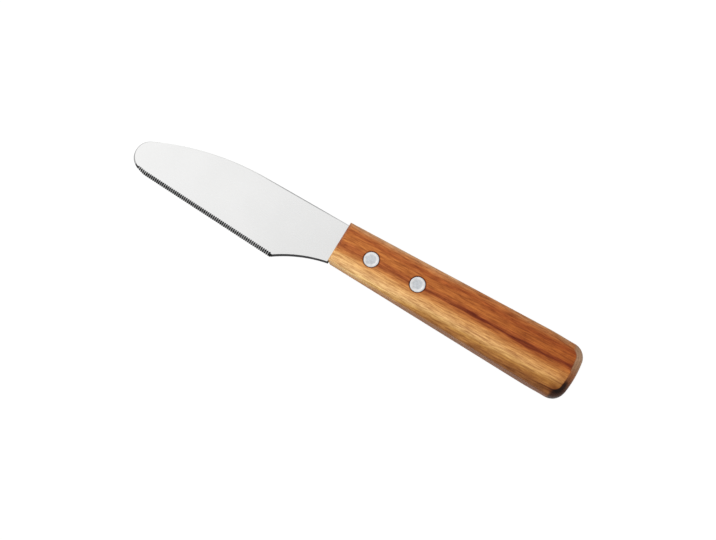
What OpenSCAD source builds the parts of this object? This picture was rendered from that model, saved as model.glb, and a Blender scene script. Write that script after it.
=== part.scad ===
// Butter knife: a wide round-tipped blade with a finely toothed edge, whose short tang is
// held in a one-piece wooden handle by two compression rivets, each made of two halves.
// The knife lies on its side. +X points to the butt, +Y to the back of the blade, and +Z
// out of the side that the teeth are ground on. Lengths are in millimetres.

/* [Blade] */
// Length of the blade that shows, from the handle to the tip
blade_l = 102; // [90:1:120]
// Thickness of the sheet that the blade is stamped from
blade_t = 1.2; // [1:0.1:1.6]
// Width of the blade at its heel, from the back to the toothed edge
heel_w = 30; // [28:0.1:33]
// Distance from the handle to the heel
heel_x = 23.7; // [18:0.1:30]
// Angle at which the toothed edge closes on the back towards the tip, in degrees
edge_tilt = 2.7; // [1:0.1:4]
// Radius of the round tip
tip_r = 7.2; // [6:0.1:8]
// How far the round tip stays clear of the line of the toothed edge
tip_clear = 1; // [0.5:0.1:1.5]
// Radius of the curve in which the edge runs up into the tip
turn_r = 15; // [12:0.5:30]
// Radius of the long curve in which the back comes down to the tip
back_r = 128; // [120:1:150]
// Radius of the hollow curve between the heel and the handle
neck_r = 60; // [45:1:90]
// Radius that takes the sharp point off the heel
heel_r = 0.8; // [0.4:0.1:1.5]
// How far the back of the blade lies below the back of the handle
back_step = 0.45; // [0:0.05:1]
// How far the neck of the blade stands out below the belly of the handle
neck_step = 0.9; // [0:0.1:1.2]

/* [Toothed edge] */
// Distance from one tooth to the next
tooth_pitch = 1; // [0.8:0.05:1.5]
// Depth of the hollow ground between two teeth
tooth_depth = 0.28; // [0.2:0.01:0.35]
// Width of the flat land left on the point of each tooth
tooth_land = 0.08; // [0.05:0.01:0.2]
// Width of the ground bevel that the teeth are cut in
bevel_w = 1.5; // [1.2:0.1:2.4]
// Thickness that the bevel leaves at the edge
edge_t = 0.2; // [0.15:0.01:0.3]
// Angle by which the grinding turns up towards the tip at the end of the straight, in degrees
edge_turn = 6; // [4:0.5:9]
// Number of teeth past that turn
turn_teeth = 5; // [2:1:6]

/* [Tang] */
// Length of the tang inside the handle
tang_l = 52; // [48:1:70]
// Width of the tang at the front of the handle
tang_w = 13; // [11:0.5:15]
// Width of the tang near its end
tang_end_w = 10.5; // [9:0.5:11]
// Radius of the two corners at the end of the tang
tang_corner_r = 3; // [1:0.5:4]
// Clearance round the tang in its slot
tang_gap = 0.05; // [0.02:0.01:0.15]
// Spare depth of the slot past the end of the tang
slot_spare = 0.8; // [0.5:0.1:4]

/* [Handle] */
// Length of the handle
handle_l = 116; // [105:1:130]
// Thickness of the handle between its two flat faces
handle_t = 13; // [11:0.5:16]
// Width of the handle at the blade
front_w = 19.1; // [18:0.1:21]
// Width of the handle across the corners of its butt
butt_w = 25.3; // [23:0.1:29]
// Radius that the long edges are rounded to
edge_r = 1.8; // [1.5:0.1:2.5]
// Radius of the rounding across the front, over and under the blade
front_edge_r = 2; // [1.5:0.1:3]
// How far that rounding rises past the faces, which leaves a slight crease where they meet
front_crease = 0.05; // [0.02:0.01:0.1]
// Radius that the edges are rounded to round the end of the butt
butt_edge_r = 3.2; // [2.5:0.1:4]
// Radius of the two corners of the butt
butt_corner_r = 6.5; // [5:0.1:9]
// Radius of the slight crown across the end of the butt
crown_r = 49; // [40:1:120]

/* [Rivets] */
// Distance from the front of the handle to the front rivet
rivet_x = 16.4; // [14:0.1:20]
// Distance from the front rivet to the rear one
rivet_gap = 22.7; // [20:0.1:28]
// Distance of each rivet from the back of the handle
rivet_drop = 10.4; // [9.4:0.1:11.4]
// Diameter of the rivet heads
head_d = 6.9; // [6:0.1:8]
// Thickness of the rivet heads
head_t = 1.1; // [0.8:0.1:1.6]
// Chamfer round the outside of each head
head_chamfer = 0.25; // [0.1:0.05:0.4]
// How far the heads lie below the wood
head_sink = 0.1; // [0.05:0.05:0.3]
// Clearance round each head in its counterbore
head_gap = 0.15; // [0.05:0.05:0.3]
// Diameter of the solid pin on the male half
pin_d = 2.8; // [2.4:0.1:3.2]
// Chamfer that leads the pin into the tube
pin_chamfer = 0.3; // [0.1:0.1:0.6]
// Outside diameter of the tube on the female half
tube_d = 4.4; // [4:0.1:5]
// Clearance round the tube in the handle and the tang
tube_gap = 0.05; // [0.02:0.01:0.15]
// Distance left between the mouth of the tube and the head of the male half
mouth_gap = 0.8; // [0.4:0.1:1.5]
// Distance left between the end of the pin and the floor of the tube
floor_gap = 0.9; // [0.5:0.1:2]

/* [Hidden] */

steel = [0.88, 0.89, 0.90];
wood = [0.72, 0.42, 0.22];
rivet_metal = [0.78, 0.80, 0.83];

// Every cutting shape runs this far past what it cuts
over = 1;

// Sides that round shapes are drawn with
edge_sides = 32;
round_sides = 72;

// The outline of the stamping leaves its true arcs by no more than this
arc_gap = 0.002;

// The outline of the blade is drawn with x = 0 at the front of the handle and y = 0 on the
// handle's middle line. Its edge is straight: edge_dir points along it from the heel to
// the tip, and edge_in points from it into the blade.
back_y = front_w / 2 - back_step;
neck_y = -front_w / 2 - neck_step;
heel = [-heel_x, back_y - heel_w];
edge_dir = [-cos(edge_tilt), sin(edge_tilt)];
edge_in = [sin(edge_tilt), cos(edge_tilt)];

// The tip is a circle clear of the edge line, and the turn up to it touches both
tip_rise = tip_r + tip_clear;
tip_run = (tip_r - blade_l - heel.x - edge_in.x * tip_rise) / edge_dir.x;
tip_c = heel + edge_dir * tip_run + edge_in * tip_rise;
edge_l = tip_run - sqrt(pow(turn_r - tip_r, 2) - pow(turn_r - tip_rise, 2));
edge_end = heel + edge_dir * edge_l;
turn_c = edge_end + edge_in * turn_r;
turn_end = turn_c + (tip_c - turn_c) / norm(tip_c - turn_c) * turn_r;

// The curve of the back touches the straight back, and the tip circle from outside
back_c_y = back_y - back_r;
back_start = [tip_c.x + sqrt(pow(back_r - tip_r, 2) - pow(tip_c.y - back_c_y, 2)), back_y];
back_c = [back_start.x, back_c_y];
back_end = back_c + (tip_c - back_c) / norm(tip_c - back_c) * back_r;

// The hollow of the neck is a circle through the heel and the front of the handle
neck_end = [0, neck_y];
neck_chord = neck_end - heel;
neck_down = [neck_chord.y, -neck_chord.x] / norm(neck_chord);
neck_c = (heel + neck_end) / 2
       + neck_down * sqrt(pow(neck_r, 2) - pow(norm(neck_chord) / 2, 2));

// The point of the heel is a small circle between the edge line and the hollow
heel_in = heel + edge_in * heel_r - neck_c;
heel_run = sqrt(pow(neck_r + heel_r, 2) - pow(norm(heel_in), 2) + pow(edge_dir * heel_in, 2))
         - edge_dir * heel_in;
heel_c = neck_c + heel_in + edge_dir * heel_run;
heel_start = heel_c - edge_in * heel_r;
heel_stop = neck_c + (heel_c - neck_c) * neck_r / (neck_r + heel_r);

// The grinding leaves the straight where its second run touches the turn
bend_tilt = edge_tilt + edge_turn;
bend = turn_c - [sin(bend_tilt), cos(bend_tilt)] * turn_r;
bend_run = turn_r * edge_turn * PI / 180;

// Bevel and teeth: each hollow is part of a cylinder that lies along the bevel
bevel_rise = blade_t - edge_t;
bevel_angle = atan(bevel_rise / bevel_w);
tooth_row = edge_l - heel_run;
tooth_count = ceil(tooth_row / tooth_pitch);
first_tooth = tooth_row - tooth_pitch / 2;
turn_tooth = bend_run + first_tooth - tooth_count * tooth_pitch;
tooth_half = (tooth_pitch - tooth_land) / 2;
tooth_r = (pow(tooth_depth, 2) + pow(tooth_half, 2)) / (2 * tooth_depth);
tooth_l = bevel_w / cos(bevel_angle) + tooth_depth / tan(bevel_angle) + 2 * over;

// Each half of the crowned butt is swept by this many steps of its corner circle
crown_steps = 4;
crown_angle = asin((butt_w / 2 - butt_corner_r) / (crown_r - butt_corner_r));
butt_corner_x = handle_l - crown_r + (crown_r - butt_corner_r) * cos(crown_angle);

// Levels in the rivets, from the middle of the blade's thickness
head_top = handle_t / 2 - head_sink;
head_seat = head_top - head_t;

// The origin is under the middle of the knife's box, on the surface that it lies on
origin = [(handle_l - blade_l) / 2, (butt_w / 2 + heel_c.y - heel_r) / 2, -handle_t / 2];

// Points along the arc about c from a round towards b, but not b itself: way is 1 for
// counter-clockwise and -1 for clockwise
function arc(c, a, b, way = 1) =
    let (r = norm(a - c),
         start = atan2(a.y - c.y, a.x - c.x),
         turn = (way * (atan2(b.y - c.y, b.x - c.x) - start) + 720) % 360,
         steps = ceil(turn / (2 * acos(1 - arc_gap / r))))
    [for (i = [0 : steps - 1]) c + r * [cos(start + way * turn * i / steps),
                                    sin(start + way * turn * i / steps)]];

// Height of the handle's back over its middle line
function handle_back(x) =
    front_w / 2 + (butt_w - front_w) / 2 * x / butt_corner_x;

function rivet_place(x) = [x, handle_back(x) - rivet_drop, 0];

front_rivet = rivet_place(rivet_x);
rear_rivet = rivet_place(rivet_x + rivet_gap);

// Flat shape of the stamping, counter-clockwise from the back of the blade at the handle
module blade_outline() {
    end_y = tang_end_w / 2;
    corner = [tang_l, end_y] - [1, 1] * tang_corner_r;
    polygon(concat(
        [[0, back_y]],
        arc(back_c, back_start, back_end),
        arc(tip_c, back_end, turn_end),
        arc(turn_c, turn_end, edge_end),
        [edge_end],
        arc(heel_c, heel_start, heel_stop),
        arc(neck_c, heel_stop, neck_end, -1),
        [neck_end, [0, -tang_w / 2]],
        arc([corner.x, -corner.y], [corner.x, -end_y], [tang_l, -corner.y]),
        [[tang_l, -corner.y]],
        arc(corner, [tang_l, corner.y], [corner.x, end_y]),
        [[corner.x, end_y], [0, tang_w / 2]]
    ));
}

// What the grinding takes off along the edge: one straight bevel, then the hollows
module bevel_cut() {
    top = blade_t / 2;
    foot = edge_t - top;
    translate([-turn_r, 0, 0]) rotate([90, 0, 90]) linear_extrude(edge_l + 2 * turn_r)
        polygon([[-over, foot - over * tan(bevel_angle)], [bevel_w, top],
                 [bevel_w, top + over], [-over, top + over]]);
}

// A row of hollows that starts a given distance before the end of its run
module tooth_cuts(start, count) {
    for (i = [0 : count - 1])
        translate([start - i * tooth_pitch, 0, edge_t - blade_t / 2])
            rotate([bevel_angle, 0, 0])
                translate([0, -over, tooth_r - tooth_depth])
                    rotate([-90, 0, 0]) cylinder(r = tooth_r, h = tooth_l, $fn = edge_sides);
}

module blade() {
    color(steel) difference() {
        translate([0, 0, -blade_t / 2]) linear_extrude(blade_t) difference() {
            blade_outline();
            for (place = [front_rivet, rear_rivet])
                translate(place) circle(tube_d / 2 + tube_gap, $fn = round_sides);
        }
        translate(edge_end) rotate(-edge_tilt) {
            bevel_cut();
            tooth_cuts(first_tooth, tooth_count);
        }
        translate(bend) rotate(-bend_tilt) {
            bevel_cut();
            tooth_cuts(turn_tooth, turn_teeth);
        }
    }
}

// A flat ring of radius r whose outside edge is rounded to radius e: a ball when they are equal
module rim(r, e) {
    rotate_extrude($fn = edge_sides) intersection() {
        translate([r - e, 0]) circle(e, $fn = edge_sides);
        translate([0, -e]) square([r, 2 * e]);
    }
}

// The wedge of wood, rounded along its faces and more so round the butt. It runs on past the
// front by the radius of its edges.
module wedge() {
    hull() for (face = [-1, 1]) {
        for (side = [-1, 1]) {
            translate([0, side * (front_w / 2 - edge_r), face * (handle_t / 2 - edge_r)])
                rim(edge_r, edge_r);
            translate([butt_corner_x, side * (butt_w / 2 - edge_r), face * (handle_t / 2 - edge_r)])
                rim(edge_r, edge_r);
        }
        for (i = [-crown_steps : crown_steps])
            translate([handle_l - crown_r, 0, face * (handle_t / 2 - butt_edge_r)])
                rotate(i / crown_steps * crown_angle) translate([crown_r - butt_corner_r, 0])
                    rim(butt_corner_r, butt_edge_r);
    }
}

// The square cut front, rounded over and under the blade, with everything behind it
module front_cut() {
    rise = handle_t / 2 + front_crease;
    bend_z = rise - front_edge_r;
    rotate([90, 0, 0]) linear_extrude(butt_w + 2 * over, center = true) polygon(concat(
        [[handle_l + over, rise]],
        arc([front_edge_r, bend_z], [front_edge_r, rise], [0, bend_z]),
        [[0, bend_z]],
        arc([front_edge_r, -bend_z], [0, -bend_z], [front_edge_r, -rise]),
        [[front_edge_r, -rise], [handle_l + over, -rise]]
    ));
}

// The slot that is sawn in from the front for the tang
module tang_slot() {
    slot = [tang_l + slot_spare + over, tang_w + 2 * tang_gap, blade_t + 2 * tang_gap];
    translate([-over, -slot.y / 2, -slot.z / 2]) cube(slot);
}

// The hole for one rivet, with a counterbore for the head at each side
module rivet_bore() {
    reach = handle_t / 2 + over;
    translate([0, 0, -reach]) cylinder(d = tube_d + 2 * tube_gap, h = 2 * reach, $fn = round_sides);
    for (turn = [0, 180])
        rotate([turn, 0, 0]) translate([0, 0, head_seat])
            cylinder(d = head_d + 2 * head_gap, h = reach - head_seat, $fn = round_sides);
}

module handle() {
    color(wood) difference() {
        intersection() {
            wedge();
            front_cut();
        }
        tang_slot();
        translate(front_rivet) rivet_bore();
        translate(rear_rivet) rivet_bore();
    }
}

// Solid half of a rivet: a flat head on a pin that is driven into the other half
module rivet_male() {
    pin_end = floor_gap - head_seat;
    color(rivet_metal) rotate_extrude($fn = round_sides)
        polygon([[0, pin_end], [pin_d / 2 - pin_chamfer, pin_end],
                 [pin_d / 2, pin_end + pin_chamfer], [pin_d / 2, head_seat],
                 [head_d / 2, head_seat], [head_d / 2, head_top - head_chamfer],
                 [head_d / 2 - head_chamfer, head_top], [0, head_top]]);
}

// Hollow half of a rivet: the same head on a tube
module rivet_female() {
    mouth = head_seat - mouth_gap;
    color(rivet_metal) rotate_extrude($fn = round_sides)
        polygon([[0, -head_top], [head_d / 2 - head_chamfer, -head_top],
                 [head_d / 2, head_chamfer - head_top], [head_d / 2, -head_seat],
                 [tube_d / 2, -head_seat], [tube_d / 2, mouth],
                 [pin_d / 2, mouth], [pin_d / 2, -head_seat], [0, -head_seat]]);
}

translate(-origin) {
    blade();
    handle();
    translate(front_rivet) rivet_male();  // front_rivet_male
    translate(front_rivet) rivet_female();  // front_rivet_female
    translate(rear_rivet) rivet_male();  // rear_rivet_male
    translate(rear_rivet) rivet_female();  // rear_rivet_female
}
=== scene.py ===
import math

import bmesh
import bpy
from mathutils import Matrix, Vector


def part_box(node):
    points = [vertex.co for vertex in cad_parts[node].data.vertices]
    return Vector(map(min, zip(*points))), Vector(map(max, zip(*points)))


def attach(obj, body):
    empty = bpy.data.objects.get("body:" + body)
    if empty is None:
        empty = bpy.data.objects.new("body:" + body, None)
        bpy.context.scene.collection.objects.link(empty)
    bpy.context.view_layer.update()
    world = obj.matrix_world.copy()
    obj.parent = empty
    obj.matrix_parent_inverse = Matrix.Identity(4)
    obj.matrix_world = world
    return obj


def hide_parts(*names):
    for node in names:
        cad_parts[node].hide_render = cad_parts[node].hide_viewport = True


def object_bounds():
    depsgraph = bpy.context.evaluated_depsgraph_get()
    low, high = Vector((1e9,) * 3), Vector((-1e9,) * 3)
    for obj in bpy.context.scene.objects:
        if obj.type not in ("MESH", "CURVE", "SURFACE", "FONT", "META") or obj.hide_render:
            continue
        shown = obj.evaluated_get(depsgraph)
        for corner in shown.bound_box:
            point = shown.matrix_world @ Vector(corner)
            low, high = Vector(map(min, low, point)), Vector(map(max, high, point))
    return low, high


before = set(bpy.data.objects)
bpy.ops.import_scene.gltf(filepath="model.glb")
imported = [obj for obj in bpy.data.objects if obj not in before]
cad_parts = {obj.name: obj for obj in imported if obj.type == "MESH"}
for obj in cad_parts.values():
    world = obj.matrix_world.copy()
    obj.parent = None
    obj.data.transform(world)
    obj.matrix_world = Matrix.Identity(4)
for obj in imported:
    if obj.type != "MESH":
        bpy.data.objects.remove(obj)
cad_low, cad_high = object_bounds()
mm = 0.001


# Camera. It stands half a metre above the knife, a little to the belly side of the handle, and is
# turned so that the knife runs from the upper left down to the lower right.
looking_at = Vector((5.852, -2.081, 6.541)) * mm
towards_camera = Vector((0.15434, -0.16307, 0.97447)).normalized()
camera_distance = 509.6 * mm
camera_turn = math.radians(30.11)

along_knife = Vector((1, 0, 0))
along_knife = (along_knife - along_knife.dot(towards_camera) * towards_camera).normalized()
across_knife = towards_camera.cross(along_knife)
picture_right = math.cos(camera_turn) * along_knife + math.sin(camera_turn) * across_knife
picture_up = math.cos(camera_turn) * across_knife - math.sin(camera_turn) * along_knife

lens = bpy.data.cameras.new("camera")
lens.sensor_width = 36
lens.lens = 58.83
camera = bpy.data.objects.new("camera", lens)
camera.matrix_world = Matrix.Translation(looking_at + towards_camera * camera_distance) @ Matrix(
    (picture_right, picture_up, towards_camera)).transposed().to_4x4()
bpy.context.scene.collection.objects.link(camera)
bpy.context.scene.camera = camera
bpy.context.scene.view_settings.view_transform = "Standard"


# Studio. The knife lies on a white sheet under one wide soft light that is brightest overhead
# and to the left.
def wire(tree, *links):
    """Joins each pair of sockets: (node, output) to (node, input)."""
    for source, output, target, entry in links:
        tree.links.new(source.outputs[output], target.inputs[entry])


def add(tree, kind, **settings):
    """A new node. A setting whose name is one of its inputs fills that input."""
    node = tree.nodes.new(kind)
    for name, value in settings.items():
        if hasattr(node, name):
            setattr(node, name, value)
        else:
            node.inputs[name.replace("_", " ")].default_value = value
    return node


sky = bpy.data.worlds.new("soft_light")
bpy.context.scene.world = sky
sky.use_nodes = True
tree = sky.node_tree
tree.nodes.clear()
direction = add(tree, "ShaderNodeTexCoord")
parts = add(tree, "ShaderNodeSeparateXYZ")
height = add(tree, "ShaderNodeMapRange", interpolation_type="SMOOTHSTEP",
             From_Min=0.05, From_Max=0.75, To_Min=0.72, To_Max=1.26)
side = add(tree, "ShaderNodeMapRange", interpolation_type="SMOOTHSTEP",
           From_Min=-0.48, From_Max=-0.02, To_Min=1.17, To_Max=0.83)
level = add(tree, "ShaderNodeMath", operation="MULTIPLY")
lit = add(tree, "ShaderNodeBackground")
seen = add(tree, "ShaderNodeBackground", Color=(1, 1, 1, 1))
ray = add(tree, "ShaderNodeLightPath")
mix = add(tree, "ShaderNodeMixShader")
out = add(tree, "ShaderNodeOutputWorld")
wire(tree, (direction, "Generated", parts, "Vector"), (parts, "Z", height, "Value"),
     (parts, "X", side, "Value"), (height, "Result", level, 0), (side, "Result", level, 1),
     (level, 0, lit, "Strength"), (ray, "Is Camera Ray", mix, "Fac"),
     (lit, "Background", mix, 1), (seen, "Background", mix, 2), (mix, "Shader", out, "Surface"))

sheet_half = 3
floor_mesh = bpy.data.meshes.new("floor")
floor_mesh.from_pydata([(-sheet_half, -sheet_half, 0), (sheet_half, -sheet_half, 0), (sheet_half, sheet_half, 0),
                        (-sheet_half, sheet_half, 0)], [], [(0, 1, 2, 3)])
floor = bpy.data.objects.new("floor", floor_mesh)
bpy.context.scene.collection.objects.link(floor)
sheet = bpy.data.materials.new("white_sheet")
sheet.use_nodes = True
tree = sheet.node_tree
tree.nodes.clear()
matt = add(tree, "ShaderNodeBsdfDiffuse", Color=(0.85, 0.85, 0.85, 1))
glow = add(tree, "ShaderNodeEmission", Strength=1.08)
ray = add(tree, "ShaderNodeLightPath")
seen = add(tree, "ShaderNodeMath", operation="MAXIMUM")
# The camera and the polished steel see the sheet as white, with a faint shadow of the knife
plain_white = 0.88
share = add(tree, "ShaderNodeMath", operation="MULTIPLY")
share.inputs[1].default_value = plain_white
mix = add(tree, "ShaderNodeMixShader")
out = add(tree, "ShaderNodeOutputMaterial")
wire(tree, (ray, "Is Camera Ray", seen, 0), (ray, "Is Glossy Ray", seen, 1), (seen, 0, share, 0),
     (share, 0, mix, "Fac"), (matt, "BSDF", mix, 1),
     (glow, "Emission", mix, 2), (mix, "Shader", out, "Surface"))
floor_mesh.materials.append(sheet)


# Blade. One stamping of 1.2 mm stainless sheet, with the tang in one piece. Its faces are ground
# to a fine satin and its cut edges are tumbled round. The long edge is then ground to a bevel on
# one side, and a row of small hollows is ground across the bevel, which leaves the teeth.
handle_low, handle_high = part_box("handle")
front_x = handle_low.x / mm
middle_y = (handle_low.y + handle_high.y) / 2 / mm
middle_z = handle_high.z / 2 / mm


def at(x, y, z=0):
    """The place so many millimetres from the middle of the handle's front."""
    return (x + front_x) * mm, (y + middle_y) * mm, (z + middle_z) * mm


sheet_t = 1.2
back_y = 9.1
heel = Vector((-23.7, back_y - 30))
tilt = math.radians(2.7)
tip_centre, tip_r = Vector((-94.8, -9.3379)), 7.2
turn_r, back_r, neck_r, heel_r = 15, 128, 60, 0.8
neck_end = Vector((0, -10.45))
tang_l, tang_half, tang_end_half, tang_corner = 52, 6.5, 5.25, 3
edge_dir = Vector((-math.cos(tilt), math.sin(tilt)))
edge_in = Vector((math.sin(tilt), math.cos(tilt)))

# The row of teeth lies between the small round of the heel and the turn up to the tip
tip_run = (tip_centre - heel).dot(edge_dir)
tip_rise = (tip_centre - heel).dot(edge_in)
edge_l = tip_run - math.sqrt((turn_r - tip_r) ** 2 - (turn_r - tip_rise) ** 2)
edge_end = heel + edge_dir * edge_l
turn_centre = edge_end + edge_in * turn_r
back_centre = Vector((tip_centre.x + math.sqrt((back_r - tip_r) ** 2 - (tip_centre.y - back_y + back_r) ** 2),
                      back_y - back_r))
chord = neck_end - heel
neck_centre = (heel + neck_end) / 2 + Vector((chord.y, -chord.x)).normalized() * math.sqrt(
    neck_r ** 2 - (chord.length / 2) ** 2)
heel_gap = heel + edge_in * heel_r - neck_centre
heel_along = edge_dir.dot(heel_gap)
heel_run = math.sqrt((neck_r + heel_r) ** 2 - heel_gap.length ** 2 + heel_along ** 2) - heel_along
heel_centre = neck_centre + heel_gap + edge_dir * heel_run


def bearing(centre, point):
    return math.atan2(point.y - centre.y, point.x - centre.x)


def arc(centre, radius, start, end, way=1, gap=0.004):
    """Points on an arc from one bearing to another, the last one left out."""
    turn = (way * (end - start)) % (2 * math.pi)
    steps = max(2, math.ceil(turn / (2 * math.acos(1 - gap / radius))))
    return [centre + radius * Vector((math.cos(start + way * turn * i / steps),
                                      math.sin(start + way * turn * i / steps))) for i in range(steps)]


# Each run of the outline comes with the width that its edges are worn by and how round they
# are, at its start and at its end, and with the finish of its edge. The back is tumbled round,
# the neck keeps a coined chamfer, and the ground edge is sharp. The finishes are numbered in the
# order in which the blade takes them below.
sharp, back_round, thin_back, tang_round = (0.02, 1), (0.55, 0.4), (0.14, 1), (0.08, 1)
tip_round, heel_round, neck_round = (0.75, 0.3), (0.9, 0.1), (0.75, 0.1)
# The dark and the dull edge finishes are painted reflections; bright is the plain satin
bright, dark, dull = 0, 1, 2
up = math.pi / 2
to_tip = bearing(back_centre, tip_centre)
to_turn = bearing(turn_centre, tip_centre)
down = bearing(turn_centre, edge_end)
to_neck = bearing(heel_centre, neck_centre)
tang_side = ((0, tang_half), (tang_l - tang_corner, tang_end_half), (tang_l, tang_end_half - tang_corner))
runs = [
    ([Vector((0, back_y))], back_round, back_round, dull),
    (arc(back_centre, back_r, up, to_tip), back_round, thin_back, dull),
    (arc(tip_centre, tip_r, to_tip, to_turn), thin_back, tip_round, dull),
    (arc(turn_centre, turn_r, to_turn, down, gap=0.001), tip_round, sharp, dark),
    ([edge_end], sharp, sharp, bright),
    (arc(heel_centre, heel_r, down, to_neck), sharp, heel_round, dark),
    (arc(neck_centre, neck_r, to_neck + math.pi, bearing(neck_centre, neck_end), -1),
     heel_round, neck_round, dark),
    ([neck_end], neck_round, neck_round, dark),
    ([Vector((x, -y)) for x, y in tang_side] + [Vector((x, y)) for x, y in reversed(tang_side)],
     tang_round, tang_round, bright),
]
outline, steel = [], []
for points, first, last, surface in runs:
    for i, point in enumerate(points):
        share = i / max(1, len(points) - 1)
        steel.append(surface)
        outline.append((point, *(a + (b - a) * share for a, b in zip(first, last))))


def rim_levels(steps):
    """The levels of a worn rim, down from the top face and on down to the bottom face."""
    return [(1, k) for k in range(steps + 1)] + [(-1, k) for k in range(steps, -1, -1)]


def skin(shape, rings, finishes=None):
    """Joins each ring to the next with faces, and closes the first and the last."""
    count = len(rings[0])
    for above, beneath in zip(rings, rings[1:]):
        for i in range(count):
            j = (i + 1) % count
            face = shape.faces.new((above[i], beneath[i], beneath[j], above[j]))
            if finishes:
                face.material_index = finishes[i]
    shape.faces.new(rings[0])
    shape.faces.new(list(reversed(rings[-1])))


def new_piece(name, mesh_name, shape):
    """Turns the faces outwards and makes the shape a piece in the scene."""
    bmesh.ops.recalc_face_normals(shape, faces=shape.faces)
    mesh = bpy.data.meshes.new(mesh_name)
    shape.to_mesh(mesh)
    shape.free()
    piece = bpy.data.objects.new(name, mesh)
    bpy.context.scene.collection.objects.link(piece)
    return piece


steel_blank = bmesh.new()
rim_steps, deepest_wear = 8, 0.5
rings = []
for side, k in rim_levels(rim_steps):
    lean = up * k / rim_steps
    ring = []
    for i, (point, width, bulge) in enumerate(outline):
        before = (point - outline[i - 1][0]).normalized()
        after = (outline[(i + 1) % len(outline)][0] - point).normalized()
        left = Vector((-before.y - after.y, before.x + after.x)) / (1 + before.dot(after))
        inset = width * (1 - bulge * math.sin(lean) - (1 - bulge) * k / rim_steps)
        drop = min(deepest_wear, width) * (bulge * (1 - math.cos(lean)) + (1 - bulge) * k / rim_steps)
        place = point + left * inset
        ring.append(steel_blank.verts.new(at(place.x, place.y, side * (sheet_t / 2 - drop))))
    rings.append(ring)
skin(steel_blank, rings, steel)
blade = new_piece("table_knife_blade", "blade_steel", steel_blank)


def ramp(tree, *stops):
    """A colour ramp with a stop at each (place, colour)."""
    node = add(tree, "ShaderNodeValToRGB")
    for i, (place, colour) in enumerate(stops):
        stop = node.color_ramp.elements[i] if i < 2 else node.color_ramp.elements.new(place)
        stop.position = place
        stop.color = colour
    return node


def grey(level):
    return level, level, level, 1


def new_finish(name, metallic=1):
    """A material, its node tree, its surface, and the coordinates of the piece that wears it."""
    finish = bpy.data.materials.new(name)
    finish.use_nodes = True
    surface = finish.node_tree.nodes["Principled BSDF"]
    surface.inputs["Metallic"].default_value = metallic
    return finish, finish.node_tree, surface, add(finish.node_tree, "ShaderNodeTexCoord")


satin, tree, metal, spot = new_finish("satin_stainless")
rub = add(tree, "ShaderNodeMapping", Scale=(60, 4000, 4000))
lines = add(tree, "ShaderNodeTexNoise", Scale=1, Detail=3)
cloud = add(tree, "ShaderNodeTexNoise", Scale=45, Detail=2)
tone = ramp(tree, (0.3, (0.81, 0.81, 0.805, 1)), (0.7, (0.84, 0.84, 0.835, 1)))
haze = add(tree, "ShaderNodeMapRange", To_Min=0.24, To_Max=0.29)
bump = add(tree, "ShaderNodeBump", Strength=0.03, Distance=0.00002)
wire(tree, (spot, "Object", rub, "Vector"), (rub, "Vector", lines, "Vector"),
     (spot, "Object", cloud, "Vector"), (cloud, "Fac", tone, "Fac"), (tone, "Color", metal, "Base Color"),
     (lines, "Fac", haze, "Value"), (haze, "Result", metal, "Roughness"),
     (lines, "Fac", bump, "Height"), (bump, "Normal", metal, "Normal"))

# Across each tooth the ground steel is painted almost black in the hollow, as painted shade, and bright on the
# side towards the tip, as a painted glint. It is painted dark past both ends of the row too.
tooth_pitch, tooth_depth, tooth_land = 1.0, 0.28, 0.08
tooth_row = edge_l - heel_run
tooth_count, turn_teeth = math.ceil(tooth_row / tooth_pitch), 5
run_in = tooth_row - (tooth_count - 0.5) * tooth_pitch
past_row = 0.13
hollow_painted_shade, flank_painted_glint = grey(0.03), grey(0.92)
ground, tree, metal, spot = new_finish("ground_edge")
rub = add(tree, "ShaderNodeMapping", Scale=(9000, 500, 500))
lines = add(tree, "ShaderNodeTexNoise", Scale=1, Detail=2)
row_end = edge_end - edge_dir * run_in
along = add(tree, "ShaderNodeMapping", vector_type="TEXTURE", Rotation=(0, 0, -tilt), Scale=(mm, mm, mm),
            Location=at(row_end.x, row_end.y))
axes = add(tree, "ShaderNodeSeparateXYZ")
across = add(tree, "ShaderNodeMath", operation="FRACT")
in_row = add(tree, "ShaderNodeMath", operation="COMPARE")
in_row.inputs[1].default_value = (tooth_count - 1 - turn_teeth) / 2
in_row.inputs[2].default_value = (tooth_count - 1 + turn_teeth) / 2 + past_row
in_tooth = add(tree, "ShaderNodeMath", operation="MULTIPLY")
tone = ramp(tree, (0, hollow_painted_shade), (1, hollow_painted_shade), (0.11, hollow_painted_shade), (0.16, flank_painted_glint), (0.47, flank_painted_glint),
            (0.52, hollow_painted_shade))
haze = add(tree, "ShaderNodeMapRange", To_Min=0.28, To_Max=0.33)
wire(tree, (spot, "Object", rub, "Vector"), (rub, "Vector", lines, "Vector"),
     (spot, "Object", along, "Vector"), (along, "Vector", axes, "Vector"), (axes, "X", across, 0),
     (axes, "X", in_row, 0), (across, 0, in_tooth, 0), (in_row, 0, in_tooth, 1),
     (in_tooth, 0, tone, "Fac"), (tone, "Color", metal, "Base Color"),
     (lines, "Fac", haze, "Value"), (haze, "Result", metal, "Roughness"))

# The chamfer along the neck, round the heel and at the turn is painted almost black, a painted reflection of
# dark surroundings
chamfer_painted_dark, tree, metal, spot = new_finish("painted_dark_chamfer")
rub = add(tree, "ShaderNodeMapping", Scale=(3000, 3000, 300))
lines = add(tree, "ShaderNodeTexNoise", Scale=1, Detail=2)
tone = ramp(tree, (0.3, (0.05, 0.05, 0.052, 1)), (0.7, (0.09, 0.09, 0.092, 1)))
haze = add(tree, "ShaderNodeMapRange", To_Min=0.35, To_Max=0.45)
wire(tree, (spot, "Object", rub, "Vector"), (rub, "Vector", lines, "Vector"),
     (lines, "Fac", tone, "Fac"), (tone, "Color", metal, "Base Color"),
     (lines, "Fac", haze, "Value"), (haze, "Result", metal, "Roughness"))
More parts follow.
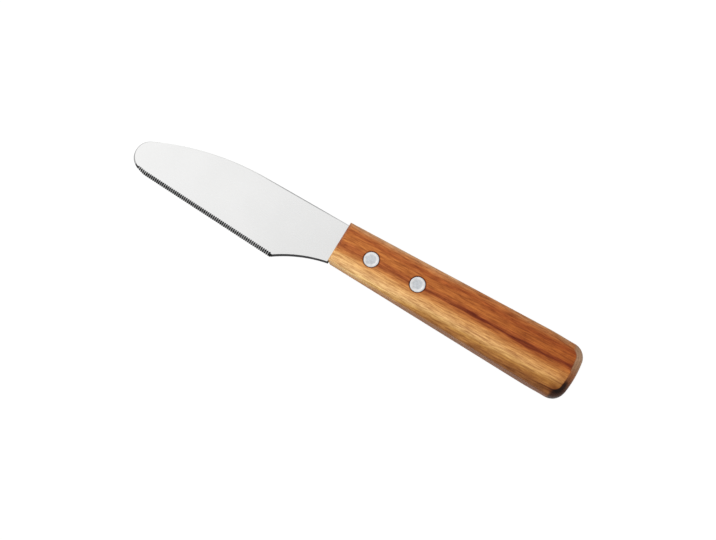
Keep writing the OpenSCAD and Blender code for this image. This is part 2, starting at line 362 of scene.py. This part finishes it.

# The edge of the back and the tip is painted bright along the middle of its length, and dull grey at the very
# tip and beside
# the handle: a painted reflection
rim_painted_reflection, tree, metal, spot = new_finish("painted_rim_reflection")
metal.inputs["Roughness"].default_value = 0.3
axes = add(tree, "ShaderNodeSeparateXYZ")
place = add(tree, "ShaderNodeMapRange", From_Min=cad_low.x, From_Max=handle_low.x)
rim_painted_bright = (0.8, 0.8, 0.795, 1)
tone = ramp(tree, (0.02, grey(0.42)), (0.1, rim_painted_bright), (0.52, rim_painted_bright), (0.68, grey(0.46)),
            (0.84, grey(0.46)), (0.97, grey(0.72)))
wire(tree, (spot, "Object", axes, "Vector"), (axes, "X", place, "Value"), (place, "Result", tone, "Fac"),
     (tone, "Color", metal, "Base Color"))
for finish in (satin, chamfer_painted_dark, rim_painted_reflection):
    blade.data.materials.append(finish)


def new_tree(name, sizes):
    """A geometry node tree with named inputs, and the nodes that its geometry comes in and goes out by."""
    tree = bpy.data.node_groups.new(name, "GeometryNodeTree")
    tree.interface.new_socket("Geometry", in_out="INPUT", socket_type="NodeSocketGeometry")
    tree.interface.new_socket("Geometry", in_out="OUTPUT", socket_type="NodeSocketGeometry")
    for label, kind in sizes.items():
        tree.interface.new_socket(label, in_out="INPUT", socket_type="NodeSocket" + kind)
    return tree, tree.nodes.new("NodeGroupInput"), tree.nodes.new("NodeGroupOutput")


def run_tree(piece, tree, values):
    """Sets the tree's inputs on a piece, and leaves the result as the piece's own plain mesh."""
    modifier = piece.modifiers.new(tree.name, "NODES")
    modifier.node_group = tree
    for item in tree.interface.items_tree:
        if item.in_out == "INPUT" and item.name in values:
            modifier[item.identifier] = values[item.name]
    bpy.context.view_layer.update()
    made = bpy.data.meshes.new_from_object(piece.evaluated_get(bpy.context.evaluated_depsgraph_get()))
    piece.modifiers.remove(modifier)
    piece.data = made
    return made


# One run of the grinding. A flat wheel takes off the bevel, and a thin round one, laid up the
# slope and repeated at every tooth, takes out the hollows.
grinding, into, outof = new_tree("ground_teeth", {
    "Pitch": "Float", "Count": "Int", "Run in": "Float", "Hollow radius": "Float", "Hollow depth": "Float",
    "Wheel": "Vector", "Wheel place": "Vector", "Slope": "Vector", "Edge place": "Vector",
    "Edge turn": "Vector", "Foot": "Vector", "Finish": "Material",
})
wheel = add(grinding, "GeometryNodeMeshCylinder", Vertices=32, Depth=6 * mm)
lay = add(grinding, "GeometryNodeTransform", Rotation=(up, 0, 0))
row = add(grinding, "GeometryNodeMeshLine")
start = add(grinding, "ShaderNodeCombineXYZ")
step = add(grinding, "ShaderNodeCombineXYZ")
lift = add(grinding, "ShaderNodeMath", operation="SUBTRACT")
each = add(grinding, "GeometryNodeInstanceOnPoints")
plain = add(grinding, "GeometryNodeRealizeInstances")
flat = add(grinding, "GeometryNodeMeshCube")
raise_flat = add(grinding, "GeometryNodeTransform")
both = add(grinding, "GeometryNodeJoinGeometry")
slope = add(grinding, "GeometryNodeTransform")
edge = add(grinding, "GeometryNodeTransform")
dress = add(grinding, "GeometryNodeSetMaterial")
cut = add(grinding, "GeometryNodeMeshBoolean", operation="DIFFERENCE", solver="EXACT", Self_Intersection=True)
wire(grinding, (into, "Hollow radius", wheel, "Radius"), (wheel, "Mesh", lay, "Geometry"),
     (into, "Run in", start, "X"), (into, "Hollow radius", lift, 0), (into, "Hollow depth", lift, 1),
     (lift, 0, start, "Z"), (into, "Pitch", step, "X"), (into, "Count", row, "Count"),
     (start, "Vector", row, "Start Location"), (step, "Vector", row, "Offset"),
     (row, "Mesh", each, "Points"), (lay, "Geometry", each, "Instance"), (each, "Instances", plain, "Geometry"),
     (into, "Wheel", flat, "Size"), (flat, "Mesh", raise_flat, "Geometry"),
     (into, "Wheel place", raise_flat, "Translation"),
     (plain, "Geometry", both, "Geometry"), (raise_flat, "Geometry", both, "Geometry"),
     (both, "Geometry", slope, "Geometry"), (into, "Slope", slope, "Rotation"),
     (into, "Foot", slope, "Translation"), (slope, "Geometry", edge, "Geometry"),
     (into, "Edge turn", edge, "Rotation"), (into, "Edge place", edge, "Translation"),
     (edge, "Geometry", dress, "Geometry"),
     (into, "Finish", dress, "Material"), (into, "Geometry", cut, "Mesh 1"), (dress, "Geometry", cut, "Mesh 2"),
     (cut, "Mesh", outof, "Geometry"))

# The straight edge takes most of the teeth, and a second, short run follows the turn to the tip
bevel_w, edge_t = 1.5, 0.2
wheel_w, wheel_t = 8, 4
edge_bend = math.radians(6)
bend_tilt = tilt + edge_bend
bend = turn_centre - Vector((math.sin(bend_tilt), math.cos(bend_tilt))) * turn_r
bevel_angle = math.atan((sheet_t - edge_t) / bevel_w)
half_gap = (tooth_pitch - tooth_land) / 2
hollow_r = (tooth_depth ** 2 + half_gap ** 2) / (2 * tooth_depth)
turn_run_in = run_in - turn_teeth * tooth_pitch + turn_r * edge_bend
for place, turn, begin, count in ((edge_end, tilt, run_in, tooth_count),
                                  (bend, bend_tilt, turn_run_in, turn_teeth)):
    run_tree(blade, grinding, {
        "Pitch": tooth_pitch * mm, "Count": count, "Run in": begin * mm,
        "Hollow radius": hollow_r * mm, "Hollow depth": tooth_depth * mm,
        "Wheel": ((edge_l + 2 * turn_r) * mm, wheel_w * mm, wheel_t * mm),
        "Wheel place": (edge_l / 2 * mm, 0, wheel_t / 2 * mm),
        "Slope": (bevel_angle, 0, 0), "Foot": (0, 0, (edge_t - sheet_t / 2) * mm),
        "Edge turn": (0, 0, -turn), "Edge place": at(place.x, place.y), "Finish": ground,
    })

# The two rivet holes through the tang
drilling, into, outof = new_tree("drilled_holes", {
    "Hole radius": "Float", "Hole place": "Vector", "Hole step": "Vector", "Finish": "Material",
})
drill = add(drilling, "GeometryNodeMeshCylinder", Vertices=48, Depth=6 * mm)
pair = add(drilling, "GeometryNodeMeshLine", Count=2)
holes = add(drilling, "GeometryNodeInstanceOnPoints")
real = add(drilling, "GeometryNodeRealizeInstances")
dress = add(drilling, "GeometryNodeSetMaterial")
cut = add(drilling, "GeometryNodeMeshBoolean", operation="DIFFERENCE", solver="EXACT")
wire(drilling, (into, "Hole radius", drill, "Radius"), (into, "Hole place", pair, "Start Location"),
     (into, "Hole step", pair, "Offset"), (pair, "Mesh", holes, "Points"), (drill, "Mesh", holes, "Instance"),
     (holes, "Instances", real, "Geometry"), (real, "Geometry", dress, "Geometry"),
     (into, "Finish", dress, "Material"), (into, "Geometry", cut, "Mesh 1"), (dress, "Geometry", cut, "Mesh 2"),
     (cut, "Mesh", outof, "Geometry"))
rivets = [Vector((16.4, -0.3844)), Vector((39.1, 0.2609))]
rivet_step = (rivets[1] - rivets[0]) * mm
rivet_place = at(rivets[0].x, rivets[0].y)
hole_r = 2.25
run_tree(blade, drilling, {
    "Hole radius": hole_r * mm, "Hole place": rivet_place, "Hole step": (rivet_step.x, rivet_step.y, 0),
    "Finish": satin,
})


def smooth_edges(piece):
    """Shades the worn edges smoothly and the broad faces flat."""
    piece.data.set_sharp_from_angle(angle=math.radians(30))
    for face in piece.data.polygons:
        face.use_smooth = abs(face.normal.z) < 0.9999


smooth_edges(blade)
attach(blade, "root")
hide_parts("blade")


# Handle. One piece of oiled acacia, sawn to a wedge with flat faces, and rounded along its edges
# and more so round the butt. It is slotted from the front for the tang and bored for the rivets.
handle_l, handle_t = 116.0, 13.0
front_half, butt_half = 9.55, 12.65
edge_round, front_round, butt_round = 1.8, 2.0, 3.4
corner_r, crown_r = 6.5, 49
front_crease, butt_crease = 0.05, math.radians(13)
grows_from, grows_over = 97, 12
past_front = 3

crown_centre = Vector((handle_l - crown_r, 0))
crown_lean = math.asin((butt_half - corner_r) / (crown_r - corner_r))
corner = crown_centre + (crown_r - corner_r) * Vector((math.cos(crown_lean), math.sin(crown_lean)))
side_lean = math.atan((butt_half - front_half) / corner.x)


def sweep(centre, radius, start, end, steps):
    """Evenly spaced points round one corner, each with its outward direction."""
    places = []
    for i in range(steps + 1):
        angle = start + (end - start) * i / steps
        outward = Vector((math.cos(angle), math.sin(angle)))
        places.append((centre + radius * outward, outward))
    return places


side_out = Vector((-math.sin(side_lean), math.cos(side_lean)))
side_start = corner + corner_r * side_out
side_end = Vector((-past_front, front_half - past_front * math.tan(side_lean)))
# The sides have most of their points near the butt, where the rounding grows
back_side = [(side_start.lerp(side_end, share), side_out)
             for share in [0.01 * k for k in range(1, 12)] + [0.13, 0.16, 0.2, 0.3, 0.5, 0.75, 1]]
belly_side = [(Vector((p.x, -p.y)), Vector((o.x, -o.y))) for p, o in reversed(back_side)]
below = Vector((corner.x, -corner.y))
profile = (belly_side + sweep(below, corner_r, -up - side_lean, -crown_lean, 26)
           + sweep(crown_centre, crown_r, -crown_lean, crown_lean, 20)[1:-1]
           + sweep(corner, corner_r, crown_lean, up + side_lean, 26) + back_side)

timber = bmesh.new()
round_share = timber.verts.layers.float.new("round_share")
rings = []
round_steps = 14
for side, k in rim_levels(round_steps):
    ring = []
    for point, outward in profile:
        # The rounding grows over the last part of the sides, and starts with a crease there
        grown = max(0, min(1, (point.x - grows_from) / grows_over))
        grown = grown * grown * (3 - 2 * grown)
        crease = butt_crease * grown
        lean = crease + (up - crease) * k / round_steps
        radius = (edge_round + (butt_round - edge_round) * grown) / (1 - math.sin(crease))
        place = point - outward * radius * (1 - math.sin(lean))
        drop = radius * (math.cos(crease) - math.cos(lean))
        ring.append(timber.verts.new(at(place.x, place.y, side * (handle_t / 2 - drop))))
        ring[-1][round_share] = k / round_steps
    rings.append(ring)
skin(timber, rings)
handle = new_piece("wooden_handle", "handle_timber", timber)

# The shape that the front is planed to: square to the faces, and rounded over and under the blade
clear = 2
rise = handle_t / 2 + front_crease
bend_z = rise - front_round
quarter = [(front_round * math.sin(t), front_round * math.cos(t)) for t in (up * k / 12 for k in range(13))]
front_line = ([(front_round - s, bend_z + c) for s, c in quarter]
              + [(front_round - c, -bend_z - s) for s, c in quarter]
              + [(handle_l + clear, -rise), (handle_l + clear, rise)])
plane = bmesh.new()
skin(plane, [[plane.verts.new(at(x, y, z)) for x, z in front_line] for y in (-10 * clear, 10 * clear)])
planed_front = new_piece("planed_front", "planed_front", plane)

wood, tree, oil, spot = new_finish("oiled_acacia", metallic=0)
oil.inputs["Specular IOR Level"].default_value = 0.15
# Millimetres from the front of the handle, along the grain, and from its back across the grain
grain = add(tree, "ShaderNodeMapping", vector_type="TEXTURE", Rotation=(0, 0, side_lean), Scale=(mm, mm, mm),
            Location=(front_x * mm, (middle_y + front_half) * mm, handle_high.z))
axes = add(tree, "ShaderNodeSeparateXYZ")
wire(tree, (spot, "Object", grain, "Vector"), (grain, "Vector", axes, "Vector"))


def stretched_noise(scale, detail, rough=0.5):
    """Noise drawn out along the grain."""
    pull = add(tree, "ShaderNodeVectorMath", operation="MULTIPLY")
    pull.inputs[1].default_value = scale
    noise = add(tree, "ShaderNodeTexNoise", Scale=1, Detail=detail, Roughness=rough)
    wire(tree, (grain, "Vector", pull, 0), (pull, "Vector", noise, "Vector"))
    return noise, "Fac"


def spread(source, low, high, bottom, top, soft=False):
    """Maps a value from low..high to bottom..top."""
    reach = add(tree, "ShaderNodeMapRange", From_Min=low, From_Max=high, To_Min=bottom, To_Max=top)
    if soft:
        reach.interpolation_type = "SMOOTHSTEP"
    wire(tree, (source[0], source[1], reach, "Value"))
    return reach, "Result"


def maths(kind, *values):
    """One sum of values, each a (node, output) or a number."""
    node = add(tree, "ShaderNodeMath", operation=kind)
    for place, value in enumerate(values):
        if isinstance(value, tuple):
            wire(tree, (value[0], value[1], node, place))
        else:
            node.inputs[place].default_value = value
    return node, 0


def product(first, *others):
    for other in others:
        first = maths("MULTIPLY", first, other)
    return first


def tint(red, green, blue):
    """A colour as the eye names it, on a scale of 255, for the shader."""
    return [((c / 255 + 0.055) / 1.055) ** 2.4 if c > 10 else c / 255 / 12.92 for c in (red, green, blue)] + [1]


def between(share, first, second):
    """A colour mixed from two, by a share."""
    mix = add(tree, "ShaderNodeMix", data_type="RGBA")
    wire(tree, (share[0], share[1], mix, "Factor"))
    for place, value in ((6, first), (7, second)):
        if len(value) == 2:
            wire(tree, (*value, mix, place))
        else:
            mix.inputs[place].default_value = value
    return mix, 2


# The growth rings lie flat along the handle: red-brown heartwood at the back, a dark ring, then
# a wide golden band, and brown again at the belly. Their colours are placed in millimetres from
# the back, on a board of 30 mm, and the rings lean as they go down into the wood. The pale first stop, on the
# rounded back edge, is a painted reflection.
ring_lean, board_w = -0.34, 30
sway = spread(stretched_noise((0.022, 0.10, 0.10), 2), 0.3, 0.7, -0.7, 0.7)
ripple = spread(stretched_noise((0.09, 0.9, 0.9), 3), 0.3, 0.7, -0.5, 0.5)
depth = maths("MULTIPLY", (axes, "Y"), -1)
depth = maths("ADD", depth, maths("MULTIPLY", (axes, "Z"), ring_lean))
depth = maths("ADD", depth, maths("ADD", sway, ripple))
narrowing = product(spread(depth, 15, 20, 0, 1.7), spread((axes, "X"), 5, 48, 1, 0, soft=True))
depth = maths("SUBTRACT", depth, narrowing)
across_board = maths("DIVIDE", depth, board_w)
figure = ramp(tree, *((place / board_w, tint(*colour)) for place, colour in (
    (0, (186, 142, 102)), (28, (128, 80, 48)), (1.5, (180, 118, 72)), (2.8, (176, 100, 48)),
    (4.2, (160, 78, 32)), (6.6, (178, 98, 42)), (8.6, (178, 98, 42)), (9.6, (168, 86, 38)),
    (11.6, (166, 86, 38)), (13.2, (192, 118, 58)), (14.8, (214, 150, 86)), (17.3, (223, 167, 106)),
    (18.8, (212, 160, 97)), (20.2, (184, 128, 64)), (21.7, (166, 108, 54)), (23, (146, 92, 46)))))
wire(tree, (*across_board, figure, "Fac"))

# Lighter at the front of the handle, darker and redder towards the butt
length_tone = between(spread((axes, "X"), 0, handle_l, 0, 1), (1.20, 1.33, 1.50, 1), (0.80, 0.68, 0.55, 1))
tinted = add(tree, "ShaderNodeVectorMath", operation="MULTIPLY")
wire(tree, (figure, "Color", tinted, 0), (*length_tone, tinted, 1))

# The dark ring starts at the front rivet and thickens towards the butt
streak_wave = spread(stretched_noise((0.05, 0.5, 0.5), 2), 0.3, 0.7, -0.45, 0.45)
streak_middle = spread((axes, "X"), 20, 65, 11.3, 10.7)
streak_off = maths("ABSOLUTE", maths("ADD", maths("SUBTRACT", depth, streak_middle), streak_wave))
streak = product(spread(streak_off, 0.15, 1.2, 1, 0, soft=True),
                 spread((axes, "X"), 12, 52, 0.25, 0.98, soft=True),
                 spread(stretched_noise((0.08, 0.4, 0.4), 3), 0.3, 0.7, 0.7, 1.1))
streaked = between(streak, (tinted, "Vector"), tint(110, 38, 12))

# Fibres, and the open pores of the grain, which show as fine dark dashes
fibres = spread(stretched_noise((0.13, 1.6, 1.6), 4, 0.65), 0.3, 0.7, 0.52, 1.48)
strands = spread(stretched_noise((0.05, 0.9, 0.9), 3), 0.3, 0.7, 0.87, 1.13)
flame = spread(stretched_noise((0.14, 0.45, 0.45), 3), 0.3, 0.7, 0.86, 1.14)
pores = spread(stretched_noise((0.22, 2.0, 2.0), 2), 0.56, 0.70, 1.06, 0.78)
fine_pores = spread(stretched_noise((0.45, 5, 5), 1), 0.60, 0.72, 1.04, 0.64)
shade = product(fibres, strands, flame, pores, fine_pores, 1.06)

# Painted shade: dark in the lower corner of the butt, along the crease there, and round each rivet
dark_corner = (112.2, -20.2, 0)
from_corner = add(tree, "ShaderNodeVectorMath", operation="DISTANCE")
from_corner.inputs[1].default_value = dark_corner
wire(tree, (grain, "Vector", from_corner, 0))
rounded = add(tree, "ShaderNodeAttribute", attribute_name="round_share")
corner_painted_shade = product(spread((from_corner, "Value"), 2.2, 5.8, 0.86, 0, soft=True),
                      spread((rounded, "Fac"), 0, 0.06, 0.5, 1), spread((rounded, "Fac"), 0.28, 0.55, 1, 0.25))
corner_painted_shade = maths("SUBTRACT", 1, corner_painted_shade)
shade = product(shade, corner_painted_shade)
# Painted shade along the crease where the flat face turns into the rounding: faint along the sides, full round
# the butt, and deeper towards the belly
crease_painted_shade = product(spread((rounded, "Fac"), 0.005, 0.03, 0, 1), spread((rounded, "Fac"), 0.06, 0.16, 1, 0),
                      spread((axes, "X"), 96, 106, 0.12, 1), spread(depth, 2, 20, 0.3, 0.6))
shade = product(shade, maths("SUBTRACT", 1, crease_painted_shade))
flat_place = add(tree, "ShaderNodeVectorMath", operation="MULTIPLY")
flat_place.inputs[1].default_value = (1 / mm, 1 / mm, 0)
wire(tree, (spot, "Object", flat_place, 0))
# Painted shade: a dark ring in the wood just round each rivet's seat, where the gap is
for rivet in rivets:
    from_rivet = add(tree, "ShaderNodeVectorMath", operation="DISTANCE")
    from_rivet.inputs[1].default_value = (rivet.x + front_x, rivet.y + middle_y, 0)
    wire(tree, (flat_place, "Vector", from_rivet, 0))
    shade = product(shade, spread((from_rivet, "Value"), 3.65, 4.15, 0.42, 1, soft=True))

# The wood reddens where it darkens
redder = add(tree, "ShaderNodeCombineXYZ")
wire(tree, (*maths("POWER", shade, 0.82), redder, "X"), (*maths("POWER", shade, 1.12), redder, "Y"),
     (*maths("POWER", shade, 1.3), redder, "Z"))
toned = add(tree, "ShaderNodeVectorMath", operation="MULTIPLY")
wire(tree, (*streaked, toned, 0), (redder, "Vector", toned, 1))

# End grain shows on the butt. Its paler, greyer back is a painted reflection and its almost black belly is
# painted shade.
facing = add(tree, "ShaderNodeNewGeometry")
turned = add(tree, "ShaderNodeSeparateXYZ")
wire(tree, (facing, "Normal", turned, "Vector"))
end_grain_painted_light = ramp(tree, *((place / board_w, tint(*colour)) for place, colour in (
    (0, (152, 120, 92)), (28, (50, 26, 16)), (5, (174, 142, 114)), (10, (162, 122, 90)), (14, (142, 86, 52)),
    (18, (100, 52, 28)), (22, (62, 31, 19)))))
wire(tree, (*across_board, end_grain_painted_light, "Fac"))
end_rings = spread(stretched_noise((0.7, 1.6, 1.6), 3), 0.3, 0.7, 0.82, 1.18)
end_shade = add(tree, "ShaderNodeVectorMath", operation="SCALE")
end_lines = spread(maths("SINE", maths("MULTIPLY", (rounded, "Fac"), 22)), -1, 1, 0.88, 1.08)
# The rings, lines and pores are the grain's own; the lower corner and the outer rim of the butt are darkened as
# painted shade
end_grain_and_painted_shade = product(end_rings, end_lines, fine_pores, corner_painted_shade, spread((rounded, "Fac"), 0.72, 0.92, 1, 0.58))
wire(tree, (end_grain_painted_light, "Color", end_shade, 0), (*end_grain_and_painted_shade, end_shade, "Scale"))
end_share = product(spread((rounded, "Fac"), 0, 0.1, 0, 0.92), spread((turned, "X"), 0.03, 0.2, 0, 1),
                    spread((axes, "X"), 100, 106, 0, 1))
surface = between(end_share, (toned, "Vector"), (end_shade, "Vector"))

# The front face is painted a dull purple-grey over its back half, a painted shade
front_painted_shade = product(spread((turned, "X"), -0.9, -0.1, 0.5, 0), spread(depth, 10, 14, 1, 0.2))
surface = between(front_painted_shade, surface, tint(134, 88, 78))
wire(tree, (*surface, oil, "Base Color"))
sheen = spread(stretched_noise((0.1, 3.0, 3.0), 2), 0.3, 0.7, 0.48, 0.62)
wire(tree, (*sheen, oil, "Roughness"))
relief = add(tree, "ShaderNodeBump", Strength=0.35, Distance=0.00006)
wire(tree, (*product(fibres, pores, fine_pores), relief, "Height"), (relief, "Normal", oil, "Normal"))
handle.data.materials.append(wood)

# The front is planed, the slot is sawn and the holes are bored before the rivets go in
joinery, into, outof = new_tree("slot_and_bores", {
    "Front": "Object", "Slot size": "Vector", "Slot place": "Vector", "Bore radius": "Float",
    "Seat radius": "Float", "Seat rise": "Vector", "Bore place": "Vector", "Bore step": "Vector",
    "Wood": "Material",
})
front_shape = add(joinery, "GeometryNodeObjectInfo")
squared = add(joinery, "GeometryNodeMeshBoolean", operation="INTERSECT", solver="EXACT")
wire(joinery, (into, "Front", front_shape, "Object"), (into, "Geometry", squared, "Mesh 2"),
     (front_shape, "Geometry", squared, "Mesh 2"))
saw = add(joinery, "GeometryNodeMeshCube")
saw_place = add(joinery, "GeometryNodeTransform")
bore = add(joinery, "GeometryNodeMeshCylinder", Vertices=64, Depth=20 * mm)
seat_cut = 4
seat = add(joinery, "GeometryNodeMeshCylinder", Vertices=72, Depth=seat_cut * mm)
seat_up = add(joinery, "GeometryNodeTransform")
turn_over = add(joinery, "ShaderNodeVectorMath", operation="SCALE", Scale=-1)
seat_down = add(joinery, "GeometryNodeTransform")
pair = add(joinery, "GeometryNodeMeshLine", Count=2)
wire(joinery, (into, "Slot size", saw, "Size"), (saw, "Mesh", saw_place, "Geometry"),
     (into, "Slot place", saw_place, "Translation"), (into, "Bore radius", bore, "Radius"),
     (into, "Seat radius", seat, "Radius"), (seat, "Mesh", seat_up, "Geometry"),
     (into, "Seat rise", seat_up, "Translation"), (into, "Seat rise", turn_over, 0),
     (seat, "Mesh", seat_down, "Geometry"), (turn_over, "Vector", seat_down, "Translation"),
     (into, "Bore place", pair, "Start Location"), (into, "Bore step", pair, "Offset"))
cut = add(joinery, "GeometryNodeMeshBoolean", operation="DIFFERENCE", solver="EXACT")
wire(joinery, (squared, "Mesh", cut, "Mesh 1"))
for cutter, output in ((bore, "Mesh"), (seat_up, "Geometry"), (seat_down, "Geometry")):
    placed = add(joinery, "GeometryNodeInstanceOnPoints")
    real = add(joinery, "GeometryNodeRealizeInstances")
    wire(joinery, (pair, "Mesh", placed, "Points"), (cutter, output, placed, "Instance"),
         (placed, "Instances", real, "Geometry"), (real, "Geometry", cut, "Mesh 2"))
dress = add(joinery, "GeometryNodeSetMaterial")
wire(joinery, (saw_place, "Geometry", cut, "Mesh 2"), (cut, "Mesh", dress, "Geometry"),
     (into, "Wood", dress, "Material"), (dress, "Geometry", outof, "Geometry"))
slot_gap, slot_past_tang = 0.05, 0.8
slot_l, slot_w, slot_t = tang_l + slot_past_tang, 2 * (tang_half + slot_gap), sheet_t + 2 * slot_gap
head_sink, head_t, seat_r = 0.1, 1.1, 3.6
head_top = handle_t / 2 - head_sink
head_seat = head_top - head_t
run_tree(handle, joinery, {
    "Front": planed_front, "Slot size": (2 * slot_l * mm, slot_w * mm, slot_t * mm), "Slot place": at(0, 0),
    "Bore radius": hole_r * mm, "Seat radius": seat_r * mm,
    "Seat rise": (0, 0, (head_seat + seat_cut / 2) * mm),
    "Bore place": rivet_place, "Bore step": (rivet_step.x, rivet_step.y, 0), "Wood": wood,
})
bpy.data.objects.remove(planed_front)
smooth_edges(handle)
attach(handle, "root")
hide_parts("handle")


# Rivets. Each is a pair of turned aluminium halves: a flat head on a pin from the top, driven
# into a head on a tube from below. Each head has a dished middle, and its colour is painted brighter on the flat
# ring round the dish than in the middle: a painted highlight.
head_r, pin_r, tube_r = 3.45, 1.4, 2.2
dish_r, dish_step, dish_bulge, shoulder = 2.45, 0.05, 0.05, 0.25
pin_gap, pin_tip, tube_gap = 0.9, 0.3, 0.8

turned_metal, tree, metal, spot = new_finish("turned_aluminium")
away = add(tree, "ShaderNodeAttribute", attribute_name="from_axis")
blotch = add(tree, "ShaderNodeTexNoise", Scale=900, Detail=3)
turning = add(tree, "ShaderNodeTexNoise", noise_dimensions="1D", Scale=9000, Detail=2)
wobble = add(tree, "ShaderNodeMath", operation="MULTIPLY_ADD")
wobble.inputs[1].default_value = 0.6 * mm
# Painted highlight: the base colour rises from the middle of the head to the flat ring round the dish
finish = ramp(tree, (0.0, (0.58, 0.61, 0.64, 1)), (1.0, (0.70, 0.71, 0.72, 1)), (0.64, (0.64, 0.665, 0.69, 1)),
              (0.74, (0.77, 0.775, 0.78, 1)), (0.92, (0.84, 0.84, 0.84, 1)))
share = add(tree, "ShaderNodeMath", operation="DIVIDE")
share.inputs[1].default_value = head_r * mm
haze = add(tree, "ShaderNodeMapRange", From_Min=0.3, From_Max=0.7, To_Min=0.28, To_Max=0.42)
dull = add(tree, "ShaderNodeMapRange", From_Min=0.3, From_Max=0.7, To_Min=0.86, To_Max=1.10)
toned = add(tree, "ShaderNodeVectorMath", operation="SCALE")
marks = add(tree, "ShaderNodeBump", Strength=0.15, Distance=0.00002)
wire(tree, (spot, "Object", blotch, "Vector"), (blotch, "Fac", wobble, 0), (away, "Fac", wobble, 2),
     (wobble, 0, share, 0), (share, 0, finish, "Fac"), (away, "Fac", turning, "W"),
     (blotch, "Fac", haze, "Value"), (haze, "Result", metal, "Roughness"), (blotch, "Fac", dull, "Value"),
     (finish, "Color", toned, 0), (dull, "Result", toned, "Scale"), (toned, "Vector", metal, "Base Color"),
     (turning, "Fac", marks, "Height"), (marks, "Normal", metal, "Normal"))

# A lathe: turns the line that comes in, out and up, round an upright axis
lathe, into, outof = new_tree("lathe", {"Rows": "Int", "Place": "Vector", "Metal": "Material"})
blank = add(lathe, "GeometryNodeMeshGrid", Size_X=2 * math.pi, Size_Y=1, Vertices_X=97)
where = add(lathe, "GeometryNodeInputPosition")
split = add(lathe, "ShaderNodeSeparateXYZ")
less = add(lathe, "ShaderNodeMath", operation="SUBTRACT")
less.inputs[1].default_value = 1
centred = add(lathe, "ShaderNodeMath", operation="ADD")
centred.inputs[1].default_value = 0.5
number = add(lathe, "ShaderNodeMath", operation="MULTIPLY")
whole = add(lathe, "ShaderNodeMath", operation="ROUND")
line_place = add(lathe, "GeometryNodeInputPosition")
pick = add(lathe, "GeometryNodeSampleIndex", data_type="FLOAT_VECTOR")
line = add(lathe, "ShaderNodeSeparateXYZ")
cosine = add(lathe, "ShaderNodeMath", operation="COSINE")
sine = add(lathe, "ShaderNodeMath", operation="SINE")
turn_x = add(lathe, "ShaderNodeMath", operation="MULTIPLY")
turn_y = add(lathe, "ShaderNodeMath", operation="MULTIPLY")
swung = add(lathe, "ShaderNodeCombineXYZ")
keep = add(lathe, "GeometryNodeStoreNamedAttribute", data_type="FLOAT", domain="POINT", Name="from_axis")
spin = add(lathe, "GeometryNodeSetPosition")
weld = add(lathe, "GeometryNodeMergeByDistance", Distance=1e-6)
seat_it = add(lathe, "GeometryNodeTransform")
real = add(lathe, "GeometryNodeRealizeInstances")
dress = add(lathe, "GeometryNodeSetMaterial")
wire(lathe, (into, "Rows", blank, "Vertices Y"), (into, "Rows", less, 0), (where, "Position", split, "Vector"),
     (split, "Y", centred, 0), (centred, 0, number, 0), (less, 0, number, 1), (number, 0, whole, 0),
     (into, "Geometry", pick, "Geometry"), (line_place, "Position", pick, "Value"), (whole, 0, pick, "Index"),
     (pick, "Value", line, "Vector"), (split, "X", cosine, 0), (split, "X", sine, 0),
     (line, "X", turn_x, 0), (cosine, 0, turn_x, 1), (line, "X", turn_y, 0), (sine, 0, turn_y, 1),
     (turn_x, 0, swung, "X"), (turn_y, 0, swung, "Y"), (line, "Z", swung, "Z"),
     (blank, "Mesh", keep, "Geometry"), (line, "X", keep, "Value"), (keep, "Geometry", spin, "Geometry"),
     (swung, "Vector", spin, "Position"), (spin, "Geometry", weld, "Geometry"),
     (weld, "Geometry", seat_it, "Geometry"), (into, "Place", seat_it, "Translation"),
     (seat_it, "Geometry", real, "Geometry"), (real, "Geometry", dress, "Geometry"),
     (into, "Metal", dress, "Material"), (dress, "Geometry", outof, "Geometry"))

# Across the face of a head, from its axis out to the shoulder and down its side
head_face = [(r, dish_step + dish_bulge * (1 - (r / dish_r) ** 2)) for r in (0, 0.6, 1.2, 1.8, 2.3)]
head_face += [(dish_r, dish_step * 0.6), (dish_r + 0.1, 0.01), (dish_r + 0.2, 0), (head_r - shoulder, 0)]
head_face += [(head_r - shoulder + shoulder * math.sin(up * k / 5), shoulder * (1 - math.cos(up * k / 5)))
              for k in range(1, 6)]
pin_end, tube_end = pin_gap - head_seat, head_seat - tube_gap
male = [(0, pin_end), (pin_r - pin_tip, pin_end), (pin_r, pin_end + pin_tip), (pin_r, head_seat),
        (head_r, head_seat)] + [(r, head_top - fall) for r, fall in reversed(head_face)]
female = [(r, fall - head_top) for r, fall in head_face] + [
    (head_r, -head_seat), (tube_r, -head_seat), (tube_r, tube_end), (pin_r, tube_end),
    (pin_r, -head_seat), (0, -head_seat)]
for rivet, end in zip(rivets, ("front", "rear")):
    for half, rows in (("male", male), ("female", female)):
        line_mesh = bpy.data.meshes.new("turned_line")
        line_mesh.from_pydata([(r * mm, 0, z * mm) for r, z in rows],
                              [(i, i + 1) for i in range(len(rows) - 1)], [])
        turned_half = bpy.data.objects.new("turned_" + end + "_" + half, line_mesh)
        bpy.context.scene.collection.objects.link(turned_half)
        run_tree(turned_half, lathe, {
            "Rows": len(rows), "Metal": turned_metal, "Place": at(rivet.x, rivet.y),
        })
        turned_half.data.set_sharp_from_angle(angle=math.radians(40))
        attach(turned_half, "root")
        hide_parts(end + "_rivet_" + half)
